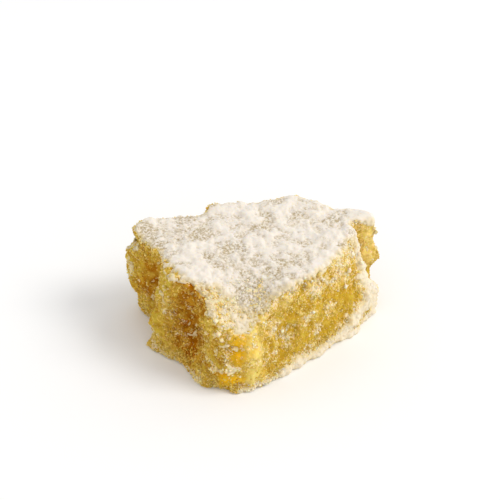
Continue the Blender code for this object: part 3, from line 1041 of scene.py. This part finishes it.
# %% The fine grain group
grain_group, given, result = new_group(
    "fine_grain",
    [("Scale", "NodeSocketFloat", 3000.0)],
    [("Shade", "NodeSocketFloat"), ("Depth", "NodeSocketFloat"), ("Height", "NodeSocketFloat")],
)
where = node(grain_group, "TexCoord").outputs["Object"]
scale = given.outputs["Scale"]
fine = node(grain_group, "TexNoise", Vector=where, Scale=scale, Detail=3.0, Roughness=0.65)
rounded = {"feature": "SMOOTH_F1"}
grits = node(grain_group, "TexVoronoi", rounded, Vector=where, Scale=scale, Smoothness=0.35)
own = node(grain_group, "SeparateColor", Color=grits.outputs["Color"])
shade = maths(grain_group, "MULTIPLY", own.outputs["Red"], 0.7)
shade = add_share(grain_group, shade, fine.outputs["Fac"], 0.6)
height = add_share(grain_group, fine.outputs["Fac"], grits.outputs["Distance"], -0.5)
for name, value in (("Shade", shade), ("Depth", own.outputs["Green"]), ("Height", height)):
    grain_group.links.new(value, result.inputs[name])
print(grain_group.name, "has", len(grain_group.nodes), "nodes")

# %% The sugar dust group
SUGAR_WHITE = (0.85, 0.785, 0.70, 1.0)
WARM_DUST = (0.89, 0.75, 0.50, 1.0)
dust_group, given, result = new_group(
    "sugar_dust",
    [
        ("Color", "NodeSocketColor", SUGAR_WHITE),
        ("Dust", "NodeSocketColor", WARM_DUST),
        ("Amount", "NodeSocketFloat", 0.3),
    ],
    [("Color", "NodeSocketColor"), ("Amount", "NodeSocketFloat")],
)
where = node(dust_group, "TexCoord").outputs["Object"]
specks = node(dust_group, "TexNoise", Vector=where, Scale=2900.0, Detail=2.0, Roughness=0.7)
patches = node(dust_group, "TexNoise", Vector=where, Scale=700.0, Detail=2.0)
level = maths(dust_group, "ADD", specks.outputs["Fac"], patches.outputs["Fac"])
bar = maths(dust_group, "SUBTRACT", 1.45, given.outputs["Amount"])
over = maths(dust_group, "SUBTRACT", level, bar)
dust = from_to(dust_group, over, -0.10, 0.16)
dusted = blend_colour(dust_group, dust, given.outputs["Color"], given.outputs["Dust"])
for name, value in (("Color", dusted), ("Amount", dust)):
    dust_group.links.new(value, result.inputs[name])
print(dust_group.name, "has", len(dust_group.nodes), "nodes")

# %% A material to build on
BUMP_STRENGTH = 0.6


def use_group(tree, group, **inputs):
    """Places a node group and fills its inputs."""
    made = tree.nodes.new("ShaderNodeGroup")
    made.node_tree = group
    for name, value in inputs.items():
        fill(tree, made, name, value)
    return made


def new_finish(name, roughness, specular):
    """A material with a Principled shader, and the tree and shader to build on."""
    material = bpy.data.materials.new(name)
    material.use_nodes = True
    shader = material.node_tree.nodes["Principled BSDF"]
    shader.inputs["Roughness"].default_value = roughness
    shader.inputs["Specular IOR Level"].default_value = specular
    return material, material.node_tree, shader


def let_light_in(shader, weight, depth, colours):
    """Light that enters the surface comes out again nearby, in each colour to its own depth."""
    shader.inputs["Subsurface Weight"].default_value = weight
    shader.inputs["Subsurface Scale"].default_value = depth
    shader.inputs["Subsurface Radius"].default_value = colours


def add_bump(tree, shader, height, distance):
    bump = node(tree, "Bump", Height=height, Distance=distance, Strength=BUMP_STRENGTH)
    tree.links.new(bump.outputs["Normal"], shader.inputs["Normal"])


# %% [markdown]
# ### Almond paste
#
# The paste is golden, and light sinks into it: hollows glow orange-brown, because the light that
# leaves them has crossed more paste, and dry crumb tops look cream. So the colour runs from a deep amber
# in pits and the shaded hollow to gold on the walls and cream on the peaks, which paints that shade and
# glow into the colour, and the shader lets light in as well. The side away from the lamp is painted more
# saturated, and the side facing it paler. The shades are blended one over another, as a painter would:
# the ground first, then the pits, the shaded hollow and the glow, then the pale crumbs, and the sugar
# dust last.

# %% The paste's colours
GOLD = (0.59, 0.365, 0.035, 1.0)
OLIVE = (0.61, 0.42, 0.055, 1.0)
RIDGE_OLIVE = (0.63, 0.49, 0.06, 1.0)
RIDGE_YELLOW = (0.93, 0.76, 0.25, 1.0)
AMBER = (0.40, 0.140, 0.001, 1.0)
LIT_SIDE_PIT = (0.50, 0.285, 0.015, 1.0)
# Painted shade for the hollow's low places.
HOLLOW_SHADE_AMBER = (0.47, 0.152, 0.001, 1.0)
HOLLOW_SHADE_BROWN = (0.33, 0.105, 0.001, 1.0)
GLOW = (0.93, 0.50, 0.006, 1.0)
SHADED_CREAM = (0.92, 0.66, 0.16, 1.0)
CREAM = (0.90, 0.67, 0.28, 1.0)
SHADE_AND_GLOW_CREAM = (0.95, 0.58, 0.08, 1.0)

# %% The ground: gold, olive and lit ridges
paste_finish, tree, shader = new_finish("almond_paste", 0.5, 0.0)
kept = {
    name: attribute(tree, name)
    for name in (
        "relief", "pale", "shaded_hollow", "glow", "lit", "near_sugar", "darker_low_down", "shaded_foot", "dusty", "lamp_facing",
    )
}
grain = use_group(tree, grain_group, Scale=2500.0)
where = node(tree, "TexCoord").outputs["Object"]
drift = node(tree, "TexNoise", Vector=where, Scale=420.0, Detail=2.0)
colour = blend_colour(tree, from_to(tree, drift.outputs["Fac"], 0.38, 0.62), GOLD, OLIVE)
# The lit ridges are yellow on the side facing the lamp and olive away from it: painted light.
ridge = blend_colour(tree, kept["lamp_facing"], RIDGE_OLIVE, RIDGE_YELLOW)
colour = blend_colour(tree, kept["lit"], colour, ridge)

# %% Pits, painted shade in the hollow, and the glow
# Pits: each grit's own darker tone, and the low places of the relief darkened as painted shade; away from
# the lamp they are a deeper amber, also painted shade.
pits = maths(tree, "MULTIPLY", from_to(tree, grain.outputs["Depth"], 0.35, 1.0), 0.45)
pits = add_share(tree, pits, from_to(tree, kept["relief"], 0.3, -1.2), 0.5, True)
pits = maths(tree, "MULTIPLY", pits, add_share(tree, 1.0, kept["lit"], -0.7))
pit_colour = blend_colour(tree, kept["lamp_facing"], AMBER, LIT_SIDE_PIT)
colour = blend_colour(tree, pits, colour, pit_colour)
# In the hollow the low places turn deep amber and brown: painted shade. The glow paints light into the
# point.
for name, field, start, end, least, most, shade in (
    ("shaded_hollow", kept["relief"], 0.7, -0.7, 0.45, 1.0, HOLLOW_SHADE_AMBER),
    ("shaded_hollow", kept["relief"], 0.1, -1.0, 0.0, 0.7, HOLLOW_SHADE_BROWN),
    ("glow", grain.outputs["Depth"], 0.2, 0.8, 0.5, 1.0, GLOW),
):
    amount = maths(tree, "MULTIPLY", kept[name], from_to(tree, field, start, end, least, most))
    colour = blend_colour(tree, amount, colour, shade)

# %% Pale crumbs
# Fewer pale crumbs in the hollow and at the glowing point: painted shade and glow.
hollow_or_glow = maths(tree, "MAXIMUM", kept["shaded_hollow"], maths(tree, "MULTIPLY", kept["glow"], 0.45))
# More pale crumbs on the side facing the lamp and on the foot away from it, as painted light, and fewer
# in the hollow and at the glow, as painted shade and glow; fewer lower down.
level = grain.outputs["Shade"]
for field, share in (
    (kept["pale"], 0.25),
    (kept["near_sugar"], 0.22),
    (hollow_or_glow, -0.27),
    (kept["darker_low_down"], -0.34),
    (kept["lamp_facing"], 0.08),
    (kept["shaded_foot"], 0.22),
):
    level = add_share(tree, level, field, share)
paleness = from_to(tree, level, 0.84, 1.32, 0.0, 0.95)
# The pale crumbs are cream on the side facing the lamp, more saturated away from it, and orange in the
# hollow and at the glow: painted light, shade and glow.
cream = blend_colour(tree, kept["lamp_facing"], SHADED_CREAM, CREAM)
shade_or_glow_share = maths(tree, "MAXIMUM", kept["shaded_hollow"], kept["glow"])
cream = blend_colour(tree, shade_or_glow_share, cream, SHADE_AND_GLOW_CREAM)
colour = blend_colour(tree, paleness, colour, cream)

# %% Sugar dust, light and grain
amount = maths(tree, "MULTIPLY", kept["near_sugar"], 0.45)
amount = add_share(tree, amount, kept["dusty"], 0.28)
dust = use_group(tree, dust_group, Color=colour, Amount=amount)
dull = from_to(tree, dust.outputs["Amount"], 0.0, 1.0, 0.48, 0.9)
tree.links.new(dust.outputs["Color"], shader.inputs["Base Color"])
tree.links.new(dull, shader.inputs["Roughness"])
let_light_in(shader, 0.5, 0.4 * MM, (1.0, 0.6, 0.15))
add_bump(tree, shader, grain.outputs["Height"], 0.12 * MM)
paste.data.materials.append(paste_finish)
print(paste_finish.name, "has", len(tree.nodes), "nodes")

# %% [markdown]
# ### Icing sugar
#
# Where the coat is thick it is white and matt. Where it is thin the moist paste has drawn into it, and it
# turns beige, with small darker specks in loose groups, and along its edge it has drunk up the paste's
# own gold. On the walls it is painted a little creamier, for the warm light that the paste throws back,
# and warmer still on the side away from the lamp: painted shade. Its grain is a third of a millimetre at
# most, so that part is bump and colour only.

# %% The sugar's colours
LIT_WALL_SUGAR = (0.83, 0.73, 0.55, 1.0)
SHADED_SUGAR = (0.92, 0.74, 0.46, 1.0)
BEIGE = (0.42, 0.325, 0.185, 1.0)
WET_SUGAR = (0.76, 0.59, 0.26, 1.0)

# %% Beige specks
sugar_finish, tree, shader = new_finish("icing_sugar", 0.85, 0.03)
wall = attribute(tree, "wall")
rim_here = attribute(tree, "rim")
where = node(tree, "TexCoord").outputs["Object"]
stains = node(tree, "TexNoise", Vector=where, Scale=230.0, Detail=3.0, Roughness=0.74)
specks = node(tree, "TexNoise", Vector=where, Scale=2100.0, Detail=2.0, Roughness=0.75)
stained = add_share(tree, stains.outputs["Fac"], attribute(tree, "thin"), 0.6)
stained = add_share(tree, stained, attribute(tree, "pit"), 0.22)
stained = from_to(tree, stained, 0.45, 0.82, 0.06, 0.98)
speckled = from_to(tree, specks.outputs["Fac"], 0.35, 0.65)
beige = maths(tree, "MULTIPLY", stained, speckled)
beige = maths(tree, "MULTIPLY", beige, from_to(tree, wall, 0.0, 1.0, 1.0, 0.25))

# %% The soaked rim, light and grain
edge = from_to(tree, attribute(tree, "thick"), 0.85, 0.0)
edge = maths(tree, "MAXIMUM", edge, maths(tree, "MULTIPLY", rim_here, 0.68))
soaked_here = maths(tree, "MULTIPLY", edge, from_to(tree, rim_here, 0.0, 1.0, 0.06, 0.85))
# Walls are creamier than the top and warmer still away from the lamp: painted warm bounce light and
# painted shade.
wall_sugar = blend_colour(tree, attribute(tree, "lamp_facing"), SHADED_SUGAR, LIT_WALL_SUGAR)
colour = blend_colour(tree, wall, SUGAR_WHITE, wall_sugar)
colour = blend_colour(tree, beige, colour, BEIGE)
colour = blend_colour(tree, soaked_here, colour, WET_SUGAR)
tree.links.new(colour, shader.inputs["Base Color"])
let_light_in(shader, 0.5, 0.4 * MM, (1.0, 0.85, 0.6))
grain = use_group(tree, grain_group, Scale=3000.0)
add_bump(tree, shader, grain.outputs["Height"], 0.08 * MM)
coat.data.materials.append(sugar_finish)
print(sugar_finish.name, "has", len(tree.nodes), "nodes")

# %% [markdown]
# ### The loose bits
#
# The bits repeat the two stuffs, each with a shade of its own per bit. Crumbs go from gold to cream,
# almond bits are golden and a little glossy with oil, and clumps of sugar are nearly white. The finest
# grains of sugar have drunk up the paste's gold. In the shaded hollow and at the glowing point all of
# them turn a warm orange, and on the side away from the lamp their pale colour is warmer: painted shade
# and glow.

# %% Finishes for the loose bits
SHADED_SIDE_BIT = (1.0, 0.73, 0.26, 1.0)
SHADE_AND_GLOW_BIT = (1.0, 0.65, 0.12, 1.0)
BIT_FINISHES = (
    # the piece, the finish's name, its dark and light colours, then dust, roughness and depth of light
    (crumbs, "almond_crumb", (0.60, 0.37, 0.03, 1.0), (0.90, 0.70, 0.29, 1.0), 0.15, 0.6, 0.3 * MM),
    (bits, "almond_bit", (0.62, 0.41, 0.06, 1.0), (0.80, 0.60, 0.20, 1.0), 0.1, 0.45, 0.8 * MM),
    (clumps, "sugar_clump", (0.88, 0.72, 0.42, 1.0), (0.94, 0.85, 0.70, 1.0), 0.2, 0.85, 0.3 * MM),
    (grains, "sugar_grain", (0.72, 0.46, 0.08, 1.0), (0.92, 0.72, 0.38, 1.0), 0.1, 0.6, 0.3 * MM),
)


def bit_finish(name, dark, light, dust_share, roughness, depth):
    """A finish whose colour goes from dark to light by each bit's own shade, under some dust."""
    material, tree, shader = new_finish(name, roughness, 0.02)
    hollow_or_glow = attribute(tree, "hollow_or_glow")
    own_shade = attribute(tree, "own_shade")
    own = add_share(tree, own_shade, attribute(tree, "near_sugar"), 0.3)
    own = add_share(tree, own, attribute(tree, "darker_low_down"), -0.3, True)
    # The pale colour is warmer on the side away from the lamp: painted shade.
    pale = blend_colour(tree, attribute(tree, "lamp_facing"), SHADED_SIDE_BIT, light)
    # In the hollow and at the glowing point the pale colour turns orange: painted shade and glow.
    pale = blend_colour(tree, maths(tree, "MULTIPLY", hollow_or_glow, 0.85), pale, SHADE_AND_GLOW_BIT)
    colour = blend_colour(tree, own, dark, pale)
    # The darker bits there turn amber: painted shade.
    soaked = maths(tree, "MULTIPLY", from_to(tree, own_shade, 0.55, 0.25), hollow_or_glow)
    colour = blend_colour(tree, maths(tree, "MULTIPLY", soaked, 0.85), colour, AMBER)
    dust = use_group(tree, dust_group, Color=colour, Amount=dust_share)
    grain = use_group(tree, grain_group, Scale=2500.0)
    tree.links.new(dust.outputs["Color"], shader.inputs["Base Color"])
    let_light_in(shader, 0.5, depth, (1.0, 0.65, 0.25))
    add_bump(tree, shader, grain.outputs["Height"], 0.06 * MM)
    return material


for piece, *finish in BIT_FINISHES:
    piece.data.materials.append(bit_finish(*finish))
    print(piece.name, "is finished as", piece.data.materials[0].name)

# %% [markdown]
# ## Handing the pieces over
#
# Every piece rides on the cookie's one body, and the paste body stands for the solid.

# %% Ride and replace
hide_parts(NODE)
for piece, slot in (
    (paste, "almond_paste"),
    (crumbs, "almond_paste"),
    (bits, "almond_paste"),
    (coat, "icing_sugar"),
    (clumps, "icing_sugar"),
    (grains, "icing_sugar"),
):
    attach(piece, "root")
